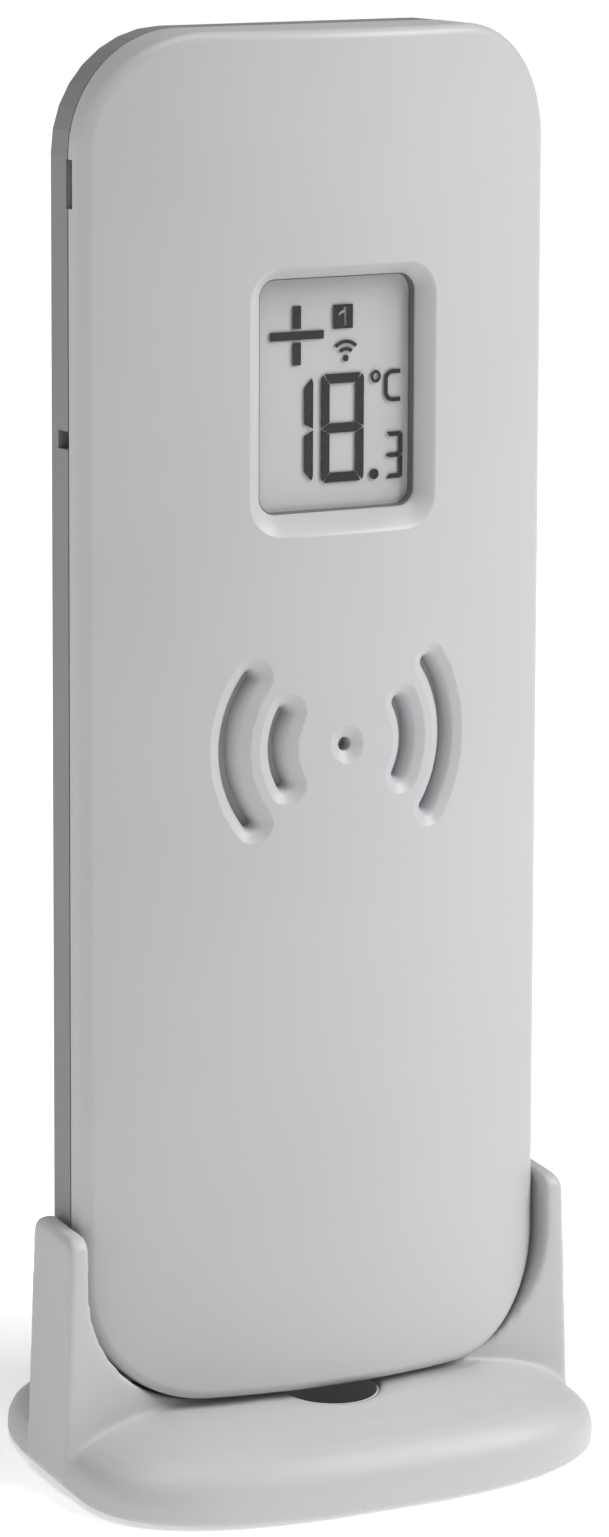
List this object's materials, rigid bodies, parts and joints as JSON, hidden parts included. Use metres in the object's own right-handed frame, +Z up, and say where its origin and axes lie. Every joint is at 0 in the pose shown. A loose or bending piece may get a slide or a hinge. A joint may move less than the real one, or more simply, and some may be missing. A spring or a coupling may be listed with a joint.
{
  "type": "wireless temperature transmitter with table stand",
  "caption": "Slim wireless temperature transmitter with a convex front, a small display and curved sound-wave-like slots, leaning back in a low U-shaped table stand.",
  "frame": {"origin": "centre of the whole object's footprint box, on the table under the stand's feet", "axes": "+X to the right seen from the front, +Y to the back, +Z up; the front faces -Y"},
  "size_m": [0.0558, 0.0448, 0.1352],
  "materials": {
    "cover_plastic": "fine satin moulded pale grey",
    "housing_plastic": "fine satin moulded mid grey",
    "stand_plastic": "fine satin moulded pale grey",
    "clear_plastic": "clear moulded window and light guide",
    "lcd_glass": "reflective display glass",
    "white_plastic": "plain",
    "black_rubber": "matte",
    "circuit_board": "solder mask",
    "chip_plastic": "moulded package",
    "bright_metal": "nickel plated",
    "cell_jacket": "plain printed sleeve",
    "copper_wire": "enamelled copper",
    "black_insulation": "wire insulation",
    "red_insulation": "wire insulation",
    "button_plastic": "satin"
  },
  "bodies": {
    "stand": {"stand": "stand_plastic", "foot_1": "black_rubber", "foot_2": "black_rubber", "foot_3": "black_rubber", "foot_4": "black_rubber"},
    "transmitter": {"front_cover": "cover_plastic", "rear_housing": "housing_plastic", "display_window": "clear_plastic", "light_guide": "clear_plastic", "status_led": "clear_plastic", "lcd_panel": "lcd_glass", "lcd_frame": "white_plastic", "zebra_strip": "black_rubber", "main_board": "circuit_board", "rf_module": "circuit_board", "mcu_chip": "chip_plastic", "tx_switch": "chip_plastic", "unit_switch": "chip_plastic", "temperature_sensor": "chip_plastic", "capacitor": "bright_metal", "crystal": "bright_metal", "channel_switch": "bright_metal", "battery_spring_1": "bright_metal", "battery_spring_2": "bright_metal", "contact_plate_1": "bright_metal", "contact_plate_2": "bright_metal", "battery_cell_1": "cell_jacket", "battery_cell_2": "cell_jacket", "rf_antenna": "copper_wire", "battery_wire_negative": "black_insulation", "battery_wire_positive": "red_insulation", "case_screw_1": "bright_metal", "board_screw_1": "bright_metal", "case_screw_2": "bright_metal", "board_screw_2": "bright_metal", "case_screw_3": "bright_metal", "board_screw_3": "bright_metal", "case_screw_4": "bright_metal", "board_screw_4": "bright_metal"},
    "door": {"battery_door": "housing_plastic", "door_seal": "black_rubber"},
    "tx_key": {"tx_button": "button_plastic"},
    "unit_key": {"unit_button": "button_plastic"},
    "slider": {"channel_slider": "button_plastic"}
  },
  "joints": [
    {"name": "transmitter_lift", "type": "slide", "parent": "stand", "child": "transmitter", "axis": [0, 0.1392, 0.9903], "range_m": [0, 0.035]},
    {"name": "battery_door_lift", "type": "slide", "parent": "transmitter", "child": "door", "axis": [0, 0.9903, -0.1392], "range_m": [0, 0.025]},
    {"name": "tx_press", "type": "slide", "parent": "transmitter", "child": "tx_key", "axis": [0, -0.9903, 0.1392], "range_m": [0, 0.0004], "stiffness_N_per_m": 500},
    {"name": "unit_press", "type": "slide", "parent": "transmitter", "child": "unit_key", "axis": [0, -0.9903, 0.1392], "range_m": [0, 0.0004], "stiffness_N_per_m": 500},
    {"name": "channel_slide", "type": "slide", "parent": "transmitter", "child": "slider", "axis": [1, 0, 0], "range_m": [0, 0.005]}
  ]
}
